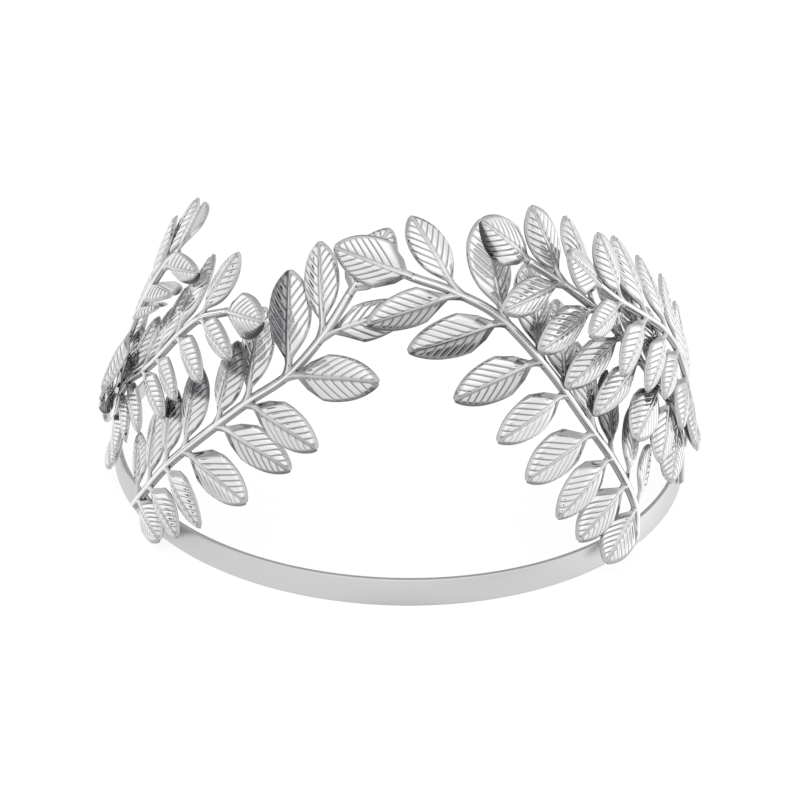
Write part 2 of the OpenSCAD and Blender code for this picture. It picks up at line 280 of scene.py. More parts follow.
# The last rows of a plan, where there are any, list leaves darkened by painted shade.
PLANS = (
    BranchPlan(
        "branch_right_front", Side.RIGHT, 1.0,
        ((51, 1.6, .3), (51.5, 10, .6), (47.5, 21, .6), (41.5, 32, .6),
         (33.5, 45.5, .6), (24, 57, .6), (14.5, 62.5, .6), (6, 65.5, 1.2)),
        ((100, 8, -35, 64, -4, -5), (92, -4, -10, 52, 2, -10),
         (88, 0, 0, 48, -4, 0), (76, -4, 0, 40, -6, 0),
         (78, 8, 0, 40, -6, 0), (72, -12, 0, 40, -2, 0),
         (62, -12, 10, 42, -8, -10), (44, 6, 15, 40, -16, -5)),
        (0, 0, 10),
        ((1, 1, 0.8, 0.2, 0.5, 0, 0), (2, 1, 0.9, -0.2, 0.1, 0, 0), (4, 1, 0.7, 0.4, 0.2, 0, 0),
         (5, 1, 0.75, 0.4, 0.2, 0, 0), (6, 1, 0.5, -0.2, 0.1, 1, 0), (7, 0, 0.6, -0.2, 0.1, -1, 0),
         (6, 0, 0.6, -0.2, 0.1, -1, 0), (5, 0, 0.4, -0.2, 0.1, -1, 0)),
    ),
    BranchPlan(
        "branch_right_middle", Side.RIGHT, 0.92,
        ((74, 2, .3), (72.5, 12, 1.6), (69.5, 21, 2.6), (65.5, 28.5, 3), (61, 34.5, 3.3),
         (56, 41.5, 3.6), (49.5, 50.5, 3.6), (43.5, 57, 3.8), (36, 63.5, 4.2), (29.3, 68.3, 4.8)),
        ((80, 0, -20, 45, -3, 0), (102, 4, -20, 45, 0, 0),
         (82, 8, -20, 45, 0, 0), (68, 6, -15, 45, 0, 0),
         (79, -3, 0, 45, -2, 0), (74, -4, 0, 45, -4, 0),
         (60, 12, 10, 48, -4, -25), (48, 16, 8, 28, 10, 0)),
        (3, 18, -5),
        ((8, 1, 1.0, 0.4, 0.6, -1, 0.8),),
    ),
    BranchPlan(
        "branch_right_back", Side.RIGHT, 0.9,
        ((88, 2, .3), (84, 13, 2.2), (79, 23, 3.6), (73.5, 32, 4.6), (69, 40, 5.2),
         (63.5, 46.5, 5.4), (56.5, 52, 5.6), (49, 57.5, 5.9), (43.5, 62, 7)),
        ((56, 8, 5, 60, 0, 0), (70, 8, -20, 60, 0, 0),
         (80, 10, -10, 60, 0, 10), (75, 6, -5, 58, -2, 5),
         (70, 6, 0, 55, -4, 0), (70, 6, 0, 54, -5, 0),
         (60, 8, 5, 50, -4, -5), (44, 16, 8, 33, 8, -5)),
        (0, 12, -15),
    ),
    BranchPlan(
        "branch_left_front", Side.LEFT, 1.0,
        ((-52, 1.5, .3), (-49, 6.5, .4), (-42, 17.5, .6), (-34, 27.5, .6),
         (-25, 37.5, .6), (-17, 45, .6), (-11, 53.5, .6), (-6.5, 61.5, .4)),
        ((58, 12, 10, 60, 0, 0), (68, 8, 0, 46, 0, 0),
         (72, 12, -10, 44, 4, 0), (64, -4, 0, 42, 4, 5),
         (62, -10, 0, 36, 10, 5), (58, 8, -5, 50, 0, 0),
         (40, 12, 10, 52, 0, 0), (34, -14, 10, 44, -4, 5)),
        (4, -18, 5),
        ((2, 1, 0.8, 0.5, 0.6, 0, 0), (3, 1, 0.8, 0.55, 0.65, 0, 0), (4, 1, 0.8, 0.55, 0.65, 0, 0),
         (5, 1, 0.35, -0.2, 0.1, -1, 0), (6, 1, 0.75, -0.2, 0.1, -1, 0), (4, 0, 0.35, -0.2, 0.1, 1, 0),
         (5, 0, 0.3, -0.2, 0.1, 1, 0), (6, 0, 0.3, -0.2, 0.1, 1, 0), (7, 0, 0.35, -0.2, 0.1, 1, 0)),
    ),
    BranchPlan(
        "branch_left_middle", Side.LEFT, 0.92,
        ((-72, 2, .3), (-71, 11, .8), (-68, 20, 1.2), (-62.5, 27, 1.5), (-55, 33.5, 1.5),
         (-49.5, 39, 2.1), (-43, 46.5, 3), (-36.5, 52.5, 4.4), (-29.3, 56.2, 6)),
        ((84, 8, 20, 45, -4, 0), (80, 6, 5, 45, -4, 0),
         (68, 4, 0, 45, -4, 0), (56, 4, -10, 45, -6, 0),
         (50, 6, -10, 45, -8, 0), (52, 12, -10, 44, -8, 10),
         (56, 16, -15, 46, -8, 15), (44, 16, -15, 36, -4, 20)),
        (-16, 20, -5),
        ((2, 1, 0.55, -0.2, 0.1, 0, 0), (3, 1, 0.4, -0.2, 0.1, 0, 0), (4, 1, 0.35, -0.2, 0.1, 0, 0),
         (8, 1, 1.0, 0.4, 0.6, 1, 0.8)),
    ),
    BranchPlan(
        "branch_left_back", Side.LEFT, 0.9,
        ((-86, 2, .3), (-83, 12, .8), (-78, 22, 1.3), (-72.5, 30.5, 1.5), (-68, 38.5, 1.7),
         (-63.5, 45.5, 2), (-58.5, 52, 2.6), (-53, 58, 3.6), (-47, 63, 5)),
        ((60, 10, 0, 45, 0, 0), (60, 12, 0, 45, 0, 0),
         (60, 14, 0, 50, -8, -12), (60, 16, 0, 40, -8, -5),
         (100, 24, 20, 32, -4, 0), (26, 0, 60, 26, -4, 8),
         (28, 4, 52, 26, 5, 10), (32, 0, -30, 40, -6, 15)),
        (24, 0, 45),
        ((7, 0, 1.0, 0.3, 0.5, 1, 0.8),),
    ),
)


@dataclass
class Shell:
    """One closed skin: its points, its faces and how raised each point is in the stamping.

    The raised number also sets the colour's painted shade: it is 0 in a groove, which is painted
    darkest, a little more on a rim, 1 on a bar or a ridge, a set level on the back, and below 0 where
    a leaf gets extra painted shade. A face that is a triangle names its last point twice.
    """

    points: Array
    faces: Array
    raised: Array


def wrap_rings(rings: Array, raised: Array) -> Shell:
    """A closed skin from rings of points, with a fan at each end.

    Each ring is joined to the next by quads, and each end fan meets at its ring's mean point.

    Args:
        rings: Rings by points by three. Seen along the rings' travel the points run clockwise.
        raised: The height in the stamping of each ring's points.

    Returns:
        The skin.
    """
    count, around = rings.shape[:2]
    ring = np.arange(around)
    after = np.roll(ring, -1)
    near = np.arange(count - 1)[:, None] * around + ring
    next_near = np.arange(count - 1)[:, None] * around + after
    quads = np.stack([near, next_near, next_near + around, near + around], axis=-1)
    middle = np.full(around, count * around)
    last = (count - 1) * around
    first_fan = np.stack([after, ring, middle, middle], axis=-1)
    last_fan = np.stack([last + ring, last + after, middle + 1, middle + 1], axis=-1)
    points = np.vstack([rings.reshape(-1, 3), rings[0].mean(axis=0), rings[-1].mean(axis=0)])
    level = np.concatenate([raised.reshape(-1), [raised[0].mean(), raised[-1].mean()]])
    return Shell(points, np.vstack([quads.reshape(-1, 4), first_fan, last_fan]), level)


def make_piece(name: str, shells: list) -> bpy.types.Object:
    """A mesh object at the origin, from closed skins in millimetres about the hoop's centre.

    Args:
        name: The piece's name.
        shells: Its skins.

    Returns:
        The object, with an attribute that says how raised each point is.
    """
    offset = np.cumsum([0] + [len(s.points) for s in shells[:-1]])
    points = np.vstack([s.points for s in shells]) * MM + HOOP_CENTRE
    faces = np.vstack([s.faces + o for s, o in zip(shells, offset)])
    triangle = faces[:, 2] == faces[:, 3]
    totals = np.where(triangle, 3, 4).astype(np.int32)
    keep = np.ones(faces.shape, bool)
    keep[triangle, 3] = False
    corners = faces[keep].astype(np.int32)
    mesh = bpy.data.meshes.new(name)
    mesh.vertices.add(len(points))
    mesh.vertices.foreach_set("co", points.astype(np.float32).ravel())
    mesh.loops.add(len(corners))
    mesh.loops.foreach_set("vertex_index", corners)
    mesh.polygons.add(len(faces))
    starts = np.concatenate([[0], np.cumsum(totals)[:-1]]).astype(np.int32)
    mesh.polygons.foreach_set("loop_start", starts)
    mesh.polygons.foreach_set("loop_total", totals)
    mesh.polygons.foreach_set("use_smooth", np.ones(len(faces), bool))
    # This level also sets the painted shade in the material's colour.
    raised = mesh.attributes.new("raised", "FLOAT", "POINT")
    raised.data.foreach_set("value", np.concatenate([s.raised for s in shells]).astype(np.float32))
    mesh.update(calc_edges=True)
    mesh.validate()
    piece = bpy.data.objects.new(name, mesh)
    bpy.context.scene.collection.objects.link(piece)
    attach(piece, "root")
    return piece


class StemCurve:
    """The line that a stem follows, measured along its length."""

    steps: int = 24
    reach: float = 1.0

    def __init__(self, wall: Wall, route: tuple) -> None:
        """Runs a smooth curve through the route's rows.

        Between two rows the curve is a cubic that also looks at one row to each side.

        Args:
            wall: The wall that it stands on.
            route: Rows of angle, height and stand-off.
        """
        rows = np.array(route, float)
        padded = np.vstack([2 * rows[0] - rows[1], rows, 2 * rows[-1] - rows[-2]])
        spans = len(rows) - 1
        a, b, c, d = (padded[k:k + spans, None, :] for k in range(4))
        t = np.linspace(0.0, 1.0, self.steps, endpoint=False)[None, :, None]
        square = (2 * a - 5 * b + 4 * c - d) * t ** 2
        cube = (3 * b - a - 3 * c + d) * t ** 3
        between = (2 * b + (c - a) * t + square + cube) / 2
        self.points = wall.point(np.vstack([between.reshape(-1, 3), rows[-1:]]))
        pieces = np.linalg.norm(np.diff(self.points, axis=0), axis=1)
        self.run = np.concatenate([[0.0], np.cumsum(pieces)])
        self.length = float(self.run[-1])

    def at(self, d: Array) -> Array:
        """Points at distances along the curve."""
        return np.stack([np.interp(d, self.run, self.points[:, k]) for k in range(3)], axis=-1)

    def heading(self, d: Array) -> Array:
        """The curve's directions at distances along it."""
        ahead = np.minimum(d + self.reach, self.length)
        behind = np.maximum(np.minimum(d, self.length) - self.reach, 0.0)
        return unit(self.at(ahead) - self.at(behind))


@dataclass(frozen=True)
class LeafPlace:
    """Where one leaf starts on its stem, the directions there and how it is bent."""

    start: Array
    heading: Array
    normal: Array
    side: int
    turn: float
    lift: float
    roll: float
    size: float
    wide: float
    outline: Array
    stalk: float
    root_back: float
    twist: float
    cup: float
    curl: float
    painted_shade: PaintedShade

    def axes(self) -> tuple:
        """The leaf's own directions: ahead along its rib, across it, and out of its face.

        The heading is turned about the wall's normal, then lifted towards that normal, and last the
        leaf is rolled about its own rib.

        Returns:
            Three unit vectors.
        """
        turn, lift = math.radians(self.turn), math.radians(self.lift)
        sideways = self.side * np.cross(self.heading, self.normal)
        level = math.cos(turn) * self.heading + math.sin(turn) * sideways
        ahead = math.cos(lift) * level + math.sin(lift) * self.normal
        face = math.cos(lift) * self.normal - math.sin(lift) * level
        roll = math.radians(self.roll)
        face = math.cos(roll) * face - math.sin(roll) * np.cross(ahead, face)
        return ahead, np.cross(ahead, face), face


class Leaf:
    """One stamped leaf: a stalk, a raised rib, pillowed bars between its veins and a thin flat rim."""

    # Where the points lie, as shares of the half width, of a bar's pitch and of what is beyond the bars
    shares: Array = np.array([0, .04, .08, .13, .2, .3, .42, .56, .7, .8, .88, .93, .97, 1.0])
    bar_rows: Array = np.array([0, .06, .13, .22, .36, .5, .64, .78, .87, .94])
    tip_rows: Array = np.array([0, .25, .5, .72, .88, .97])
    stalk_rows: int = 8

    # Shares of the stalk's length where its flare and the veins' sweep start, then shares of the
    # blade's length where the sweep is full, the first bar starts and the base has turned into blade
    flare_start: float = 0.6
    sweep_start: float = 0.35
    sweep_full: float = 0.06
    bars_start: float = 0.01
    base_end: float = 0.2

    # Pitches from the last bar to the tip, how much the rib narrows by the tip, and where the bars
    # start beside it, as a share of the rib's half width
    tip_pitches: float = 0.9
    rib_taper: float = 0.55
    bar_foot: float = 0.8

    # Millimetres that the bars take to rise beside the rib and the rim, the share of the rim that is
    # flat, the least half width of a row of points, and what keeps a rib's first direction from zero
    rib_ramp: float = 0.35
    rim_ramp: float = 0.3
    rim_flat: float = 0.4
    least_half: float = 0.12
    nudge: float = 0.01

    # The outline is looked for out to this many half widths, in this many halvings of the span
    search_reach: float = 1.2
    halvings: int = 30

    # Painted shade: room over the bars' height, how far a leaf's full painted shade reaches below a
    # groove's 0, and the share of the half width over which it begins
    level_room: float = 0.1
    painted_shade_depth: float = 1.3
    unshaded_ramp: float = 0.15

    def __init__(self, stamping: Stamping, place: LeafPlace) -> None:
        """Keeps the stamping's sizes and the leaf's place.

        Args:
            stamping: The sizes.
            place: Where the leaf is.
        """
        self.s = stamping
        self.place = place
        self.blade = stamping.blade_length * place.size
        self.half = stamping.blade_width / 2 * place.size * place.wide
        self.total = place.stalk + self.blade

    def half_width(self, reach: Array) -> Array:
        """Half of the leaf's width at a distance from its stem.

        Args:
            reach: Distances from the stem.

        Returns:
            The flared stalk's half width, then the blade's from its table.
        """
        stalk = self.place.stalk
        outline = self.place.outline
        knots = np.concatenate([[0.0, self.flare_start * stalk], stalk + self.blade * outline[:, 0]])
        values = np.concatenate([[self.s.stalk_half] * 2, self.half * outline[:, 1]])
        return np.where(reach > self.total, 0.0, smooth_through(reach, knots, values))

    def sweep(self, x: Array, row: Array) -> Array:
        """How far a vein has moved ahead at x from the rib: lean times x, and a little for its square.

        Args:
            x: Distances from the rib.
            row: Where the veins leave the rib.

        Returns:
            Distances ahead, none in the first part of the stalk.
        """
        stalk = self.place.stalk
        fade = ease(row, self.sweep_start * stalk, stalk + self.sweep_full * self.blade)
        return fade * (self.s.vein_lean * x + self.s.vein_sweep * x * x)

    def row_places(self) -> Array:
        """Where the rows of points cross the rib: in the stalk, over the bars, and to the tip."""
        stalk = np.linspace(0.0, 1.0, self.stalk_rows, endpoint=False) * self.place.stalk
        steps = (np.arange(self.s.bars)[:, None] + self.bar_rows).ravel()
        bars = self.first_bar() + self.pitch() * steps
        end = self.first_bar() + self.pitch() * self.s.bars
        return np.concatenate([stalk, bars, end + (self.total - end) * self.tip_rows])

    def pitch(self) -> float:
        """Distance from one vein to the next along the rib."""
        return self.blade / (self.s.bars + self.tip_pitches)

    def first_bar(self) -> float:
        """Where the first bar starts."""
        return self.place.stalk + self.bars_start * self.blade

    def reach_out(self, row: Array) -> Array:
        """How far from the rib each swept row meets the leaf's outline, found by halving the span.

        Args:
            row: Where the rows leave the rib.

        Returns:
            Distances from the rib.
        """
        low = np.zeros_like(row)
        high = np.full_like(row, self.search_reach * self.half)
        for _ in range(self.halvings):
            middle = (low + high) / 2
            inside = self.half_width(row + self.sweep(middle, row)) > middle
            low = np.where(inside, middle, low)
            high = np.where(inside, high, middle)
        return low

    def rib_line(self, reach: Array) -> tuple:
        """The line of the leaf's rib, and the directions across it and out of its face.

        In the stalk it is a parabola that leaves the stem along the stem, so the two join like a
        fork, and from the blade's base on it is straight.

        Args:
            reach: Distances from the stem.

        Returns:
            Points and two directions for each distance.
        """
        place = self.place
        ahead, _, face = place.axes()
        u = np.clip(reach / place.stalk, 0.0, 1.0)[..., None]
        root = place.start - place.root_back * place.heading
        base = place.start + place.stalk * ahead
        curved = (1 - u) ** 2 * root + 2 * u * (1 - u) * place.start + u ** 2 * base
        beyond = np.maximum(reach - place.stalk, 0.0)[..., None]
        leaving = place.start - root + self.nudge * ahead
        along = unit((1 - u) * leaving + u * (base - place.start))
        up = unit((1 - u) * place.normal + u * face)
        across = unit(np.cross(along, up))
        return curved + beyond * ahead, across, np.cross(across, along)

    def relief(self, row: Array, reach: Array, x: Array, near_rim: Array) -> Array:
        """How far the rib and the bars stand out of the leaf.

        Across a pitch a bar is one less an even power, so it has a flat top between two grooves. The
        rib is a bell that narrows towards the tip.

        Args:
            row: Where each row of points crosses the rib.
            reach: How far along the leaf each point is.
            x: How far from the rib each point is.
            near_rim: 0 on the flat rim and 1 inside it.

        Returns:
            Heights over the leaf's plane.
        """
        s = self.s
        along_bar = (row - self.first_bar()) / self.pitch()
        phase = along_bar - np.floor(along_bar)
        in_bars = ((along_bar >= 0) & (along_bar < s.bars)).astype(float)
        bar = (1.0 - np.abs(2.0 * phase - 1.0) ** s.bar_flatness) * in_bars
        narrow = 1.0 - self.rib_taper * ease(reach, self.place.stalk, self.total)
        half = s.rib_half * narrow
        rib = s.rib_rise * narrow * np.exp(-(x / half) ** 2)
        return rib + s.bar_rise * bar * ease(x, half * self.bar_foot, half + self.rib_ramp) * near_rim

    def painted_shade(self, reach: Array, lateral: Array, u: Array) -> Array:
        """How far each point is darkened by painted shade.

        Args:
            reach: How far along the leaf each point is.
            lateral: How far across the rib each point is, with its sign.
            u: The share of the half width that this is.

        Returns:
            Amounts from 0 to 1.
        """
        shade_plan = self.place.painted_shade
        amount = shade_plan.amount * ease((reach - self.place.stalk) / self.blade, shade_plan.start, shade_plan.end)
        on_half = shade_plan.half * lateral >= 0
        return amount * on_half * ease(u, shade_plan.unshaded_share - self.unshaded_ramp, shade_plan.unshaded_share)

    def build(self) -> Shell:
        """The leaf's skin.

        The face's height over its plane is the sum of the rib and the bars and a slight pillow on each
        half, less the fold beside the rib, the curl along the leaf and the cup across it. The rim is
        rounded, and last the leaf is twisted about its rib.

        Returns:
            The closed skin about the hoop's centre.
        """
        s, place = self.s, self.place
        row = self.row_places()[:, None]
        out = np.maximum(self.reach_out(row), self.least_half)
        share = np.concatenate([-self.shares[:0:-1], self.shares])[None, :]
        lateral = share * out
        x = np.abs(lateral)
        u = x / out
        reach = np.minimum(row + self.sweep(x, row), self.total)
        on_blade = ease(reach, place.stalk, place.stalk + self.base_end * self.blade)
        near_rim = ease(out - x, s.rim * self.rim_flat, s.rim + self.rim_ramp)
        relief = self.relief(row, reach, x, near_rim)
        pillow = s.pillow * place.size * 4 * u * (1 - u) * on_blade
        fold = s.fold * (np.sqrt(x ** 2 + s.fold_softness ** 2) - s.fold_softness)
        curl = (s.curl + place.curl) * reach ** 2 + place.cup * x ** 2 * on_blade
        height = relief + pillow - fold - curl
        rounding = edge_fall(out - x, s.sheet)
        # Painted shade by level: grooves darkest, the flat rim a little lighter, bars and the rib
        # lightest.
        rim_level = s.rim_shade_level * (1 - near_rim) * on_blade
        raised = np.maximum(relief / (s.bar_rise + self.level_room), rim_level)
        # A leaf's planned painted shade takes its level below 0, down to the darkest colour.
        painted_shade = self.painted_shade(reach, lateral, u)
        raised = raised - self.painted_shade_depth * painted_shade * (1 - raised * (1 - painted_shade))
        front = np.stack([reach, lateral, height - rounding], axis=-1)
        back = np.stack([reach, lateral, height - s.sheet + rounding], axis=-1)[:, -2:0:-1]
        ring = np.concatenate([front, back], axis=1)
        level = np.concatenate([raised, np.full_like(raised[:, 1:-1], BACK_SHADE_LEVEL)], axis=1)
        angle = math.radians(place.twist) * ring[..., 0] / self.total
        turned = ring[..., 1] * np.cos(angle) - ring[..., 2] * np.sin(angle)
        lifted = ring[..., 1] * np.sin(angle) + ring[..., 2] * np.cos(angle)
        middle, across, face = self.rib_line(ring[..., 0])
        points = middle + turned[..., None] * across + lifted[..., None] * face
        return wrap_rings(points, level)


class Branch:
    """One stamped branch: its stem, its pairs of leaves and its end leaf."""

    # The stem's points: millimetres along it, closer at the root, and shares of its half width
    stem_step: float = 0.7
    root_rows: tuple = (0.0, 0.12, 0.3, 0.5)
    shares: Array = np.array([0, .15, .3, .42, .52, .6, .68, .78, .88, .95, 1.0])

    # The root's rounding in millimetres, from a small start that keeps its end from a point
    root_round: float = 1.0
    root_start: float = 0.05

    # How far back along the stem a leaf's rib may start, as a share of its way from the root
    back_share: float = 0.8

    # The least and the most of a leaf's twist in degrees, its cup and its curl
    least_bent: tuple = (-9, -0.006, -0.002)
    most_bent: tuple = (9, 0.012, 0.003)

    def __init__(self, plan: BranchPlan, stamping: Stamping, wall: Wall) -> None:
        """Lays the stem's line.

        Args:
            plan: Where the branch runs and how its leaves are bent.
            stamping: The sizes of the stamping.
            wall: The wall that it follows.
        """
        self.plan = plan
        self.s = stamping
        self.wall = wall
        self.curve = StemCurve(wall, plan.route)
        self.chance = np.random.default_rng(name_number(plan.name))

    def stem(self) -> Shell:
        """The stem: a rounded ridge over narrow flanges on a flat back, carried along its line.

        The ridge is half an ellipse on the flanges' level, and the root end is rounded off.

        Returns:
            The stem's closed skin.
        """
        s = self.s
        d = np.linspace(0.0, self.curve.length, int(self.curve.length / self.stem_step))
        d = np.concatenate([self.root_rows, d[1:]])
        middle = self.curve.at(d)
        normal = self.wall.normal(middle)
        across = unit(np.cross(self.curve.heading(d), normal))
        part = d / self.curve.length
        half = (s.stem_width + (s.stem_tip_width - s.stem_width) * part) / 2
        rounded = np.sqrt(1 - (1 - np.clip((d + self.root_start) / self.root_round, 0, 1)) ** 2)[:, None]
        half = half[:, None] * rounded
        share = np.concatenate([-self.shares[:0:-1], self.shares])[None, :]
        u = np.abs(share)
        ridge = np.sqrt(np.clip(1 - (u / s.ridge_share) ** 2, 0, 1)) * (s.stem_rise - s.flange_rise)
        level = (s.flange_rise + ridge) * rounded
        rounding = edge_fall((1 - u) * half, s.flange_rise) * rounded
        across, normal = across[:, None, :], normal[:, None, :]
        lateral = (share * half)[..., None] * across
        front = middle[:, None, :] + lateral + (level - rounding)[..., None] * normal
        back = (middle[:, None, :] + lateral + rounding[..., None] * normal)[:, -2:0:-1]
        # Painted shade: the flanges get the darker groove colour, the ridge's top the full colour, the
        # back its set level.
        raised = np.broadcast_to(ridge / (s.stem_rise - s.flange_rise), level.shape)
        raised = np.concatenate([raised, np.full_like(raised[:, 1:-1], BACK_SHADE_LEVEL)], axis=1)
        return wrap_rings(np.concatenate([front, back], axis=1), raised)

    def leaf(self, d: float, side: int, bend: tuple, size: float, wide: float, stalk: float,
             painted_shade: PaintedShade) -> Shell:
        """One leaf of the branch, with the slight twist, cup and curl of hand bending.

        Args:
            d: Distance along the stem.
            side: 1 for the side that the stem's heading crossed with the wall's normal points to, or -1.
            bend: Degrees of turn from the stem's heading, of lift out of the wall, and of roll.
            size: Size against a full leaf.
            wide: Share of the usual width.
            stalk: Length of its stalk.
            painted_shade: How much painted shade it carries.

        Returns:
            The leaf's closed skin.
        """
        at = self.curve.at(np.array(d))
        normal = self.wall.normal(at)
        twist, cup, curl = self.chance.uniform(self.least_bent, self.most_bent)
        in_pair = d < self.curve.length
        turn, lift, roll = bend
        place = LeafPlace(
            start=at + self.s.blade_sink * normal, heading=self.curve.heading(np.array(d)), normal=normal,
            side=side, turn=turn, lift=lift, roll=roll, size=size, wide=wide,
            outline=UPPER_BLADE if in_pair and side == self.plan.side.value else LOWER_BLADE,
            stalk=stalk,
            root_back=min(self.s.root_back * self.plan.size, self.back_share * d) if in_pair else 0.0,
            twist=twist, cup=cup, curl=curl, painted_shade=painted_shade,
        )
        return Leaf(self.s, place).build()

    def build(self) -> bpy.types.Object:
        """The whole branch as one piece in place of its CAD node.

        A pair whose place would be at or below the root is left out.

        Returns:
            The piece.
        """
        plan, s = self.plan, self.s
        hand = plan.side.value
        shells = [self.stem()]
        # Leaves listed in the plan's rows of painted shade are darkened in their colour.
        painted_shade_rows = {row[:2]: PaintedShade(*row[2:]) for row in plan.painted_shade_rows}
        for k, (pair, bends) in enumerate(zip(PAIRS, plan.bends)):
            d = self.curve.length - pair[0] * plan.size
            if d <= s.root_room:
                continue
            leaves = zip((-hand, hand), (bends[:3], bends[3:]), pair[1:3] * plan.size, pair[3:5])
            for upper, (side, bend, size, wide) in enumerate(leaves):
                painted_shade = painted_shade_rows.get((k, upper), PaintedShade())
                shells.append(self.leaf(d, side, bend, size, wide, s.stalk_length * plan.size, painted_shade))
        painted_shade = painted_shade_rows.get((len(PAIRS), 1), PaintedShade())
        shells.append(self.leaf(self.curve.length, hand, plan.end_bend, s.end_size * plan.size,
                                s.end_wide, s.end_stalk * plan.size, painted_shade))
        piece = make_piece(plan.name + "_leaves", shells)
        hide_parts(plan.name)
        return piece


@dataclass(frozen=True)
class Band:
    """The plain hoop strip, which leans as the wall does and is open at the back."""

    wall: Wall
    height: float = 5.6
    thickness: float = 1.0
    end_angle: float = 100.0
    end_round: float = 3.2
    end_trim: float = 0.3
    edge_round: float = 0.22
    steps: int = 360
    end_steps: int = 14
    corner_steps: int = 5
    first_turn: float = 0.02
    least_half: float = 0.05

    def last_angle(self) -> float:
        """Angle of the strip's last section, which is trimmed a little short of its end."""
        return self.end_angle - math.degrees(self.end_trim / self.wall.radius)

    def angles(self) -> Array:
        """Angles of the strip's sections, closer together where its ends are rounded."""
        reach = math.degrees(self.end_round / self.wall.radius)
        last = self.last_angle()
        turn = np.linspace(self.first_turn, 1.0, self.end_steps) * math.pi / 2
        ahead = np.linspace(-(last - reach), last - reach, self.steps)
        close = last - reach * (1 - np.cos(turn))[::-1]
        return np.concatenate([-close[::-1], ahead[1:-1], close])

    def section(self) -> tuple:
        """The strip's section: a rectangle with rounded corners, about its middle.

        Returns:
            Millimetres across the thickness and up the height, going round.
        """
        quarter = np.linspace(0, math.pi / 2, self.corner_steps)
        half_t, half_h, r = self.thickness / 2, self.height / 2, self.edge_round
        corners = []
        for sx, sz, first in ((1, 1, 0), (-1, 1, 1), (-1, -1, 2), (1, -1, 3)):
            a = quarter + first * math.pi / 2
            thick, high = sx * (half_t - r) + r * np.cos(a), sz * (half_h - r) + r * np.sin(a)
            corners.append(np.stack([thick, high]))
        around = np.concatenate(corners, axis=1)
        return around[0], around[1]

    def build(self) -> bpy.types.Object:
        """The strip as one piece in place of its CAD node.

        A section is carried round the hoop. Towards an end its height follows a circle to a point.

        Returns:
            The piece.
        """
        across, up = self.section()
        angle = self.angles()
        left_over = np.radians(self.last_angle() - np.abs(angle)) * self.wall.radius
        short = np.clip(self.end_round - left_over, 0, self.end_round)
        half = np.minimum(np.sqrt(self.end_round ** 2 - short ** 2), self.height / 2)
        half = np.maximum(half, self.least_half)[:, None]
        flat = np.clip(half / (self.height / 2), 0.0, 1.0)
        middle = self.height / 2
        z = middle + up[None, :] * flat
        r = self.wall.radius_at(z) - self.thickness / 2 + across[None, :]
        a = np.radians(angle)[:, None]
        rings = np.stack([r * np.sin(a), -r * np.cos(a), z], axis=-1)[:, ::-1]
        piece = make_piece("hoop_strip", [wrap_rings(rings, np.ones(rings.shape[:2]))])
        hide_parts("band")
        return piece


